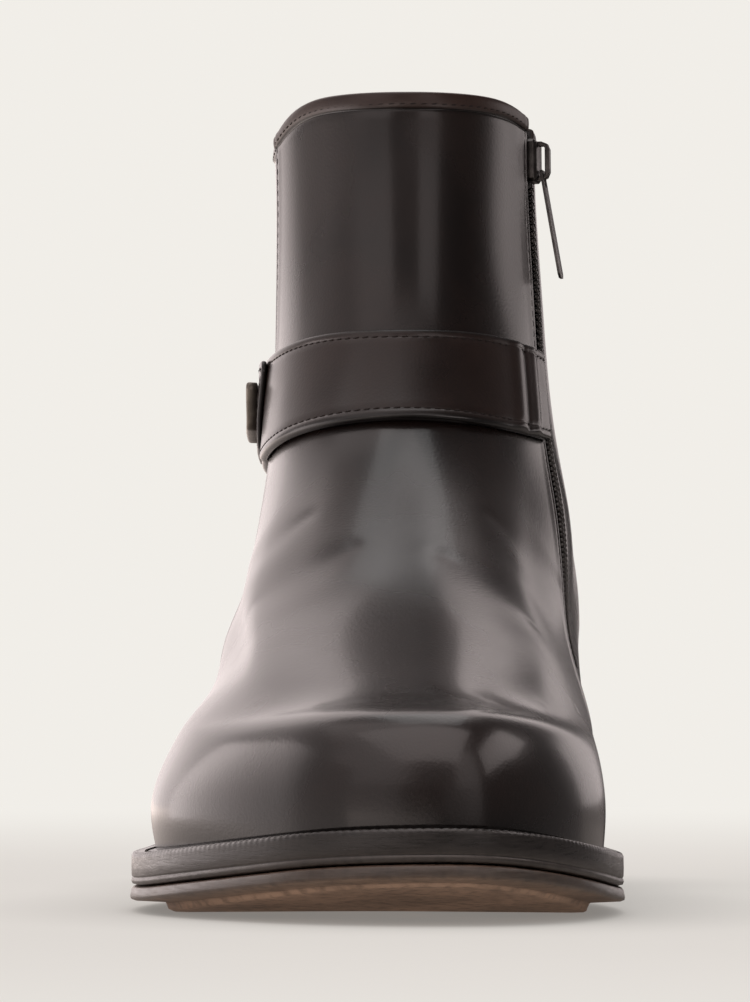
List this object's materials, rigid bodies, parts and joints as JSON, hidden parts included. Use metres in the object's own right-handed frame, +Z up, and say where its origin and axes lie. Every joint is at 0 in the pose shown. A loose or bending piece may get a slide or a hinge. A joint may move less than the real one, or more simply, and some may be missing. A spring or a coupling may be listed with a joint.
{
  "type": "ankle boot",
  "caption": "Dark brown polished leather ankle boot for the right foot, with an inner zip, a buckled ankle strap, a welted leather sole and a stacked heel.",
  "frame": {"origin": "floor level under the middle of the part's bounding box", "axes": "toe towards -Y, heel towards +Y, zip side (inner side of the foot) towards +X, +Z up"},
  "size_m": [0.1068, 0.2974, 0.1847],
  "materials": {
    "upper_leather": "polished",
    "insole_leather": "matte",
    "welt_leather": "waxed",
    "sole_leather": "satin",
    "heel_stack": "waxed",
    "strap_leather": "polished",
    "plate_leather": "satin",
    "zip_fabric": "woven",
    "zip_metal": "dark gunmetal",
    "buckle_metal": "brushed, warm grey"
  },
  "bodies": {
    "boot": {"upper": "upper_leather", "insole": "insole_leather", "welt": "welt_leather", "outsole": "sole_leather", "heel": "heel_stack", "zip_tape": "zip_fabric", "zip_chain": "zip_metal", "zip_slider": "zip_metal", "strap": "strap_leather", "buckle_plate": "plate_leather", "buckle_frame": "buckle_metal", "buckle_prong": "buckle_metal"},
    "pull_tab": {"zip_pull": "zip_metal"}
  },
  "joints": [
    {"name": "pull_tab_hinge", "type": "hinge", "parent": "boot", "child": "pull_tab", "pos_m": [0.03331, 0.07727, 0.16815], "axis": [-0.1712, -0.9839, 0.0511], "range_deg": [-8, 100]}
  ]
}
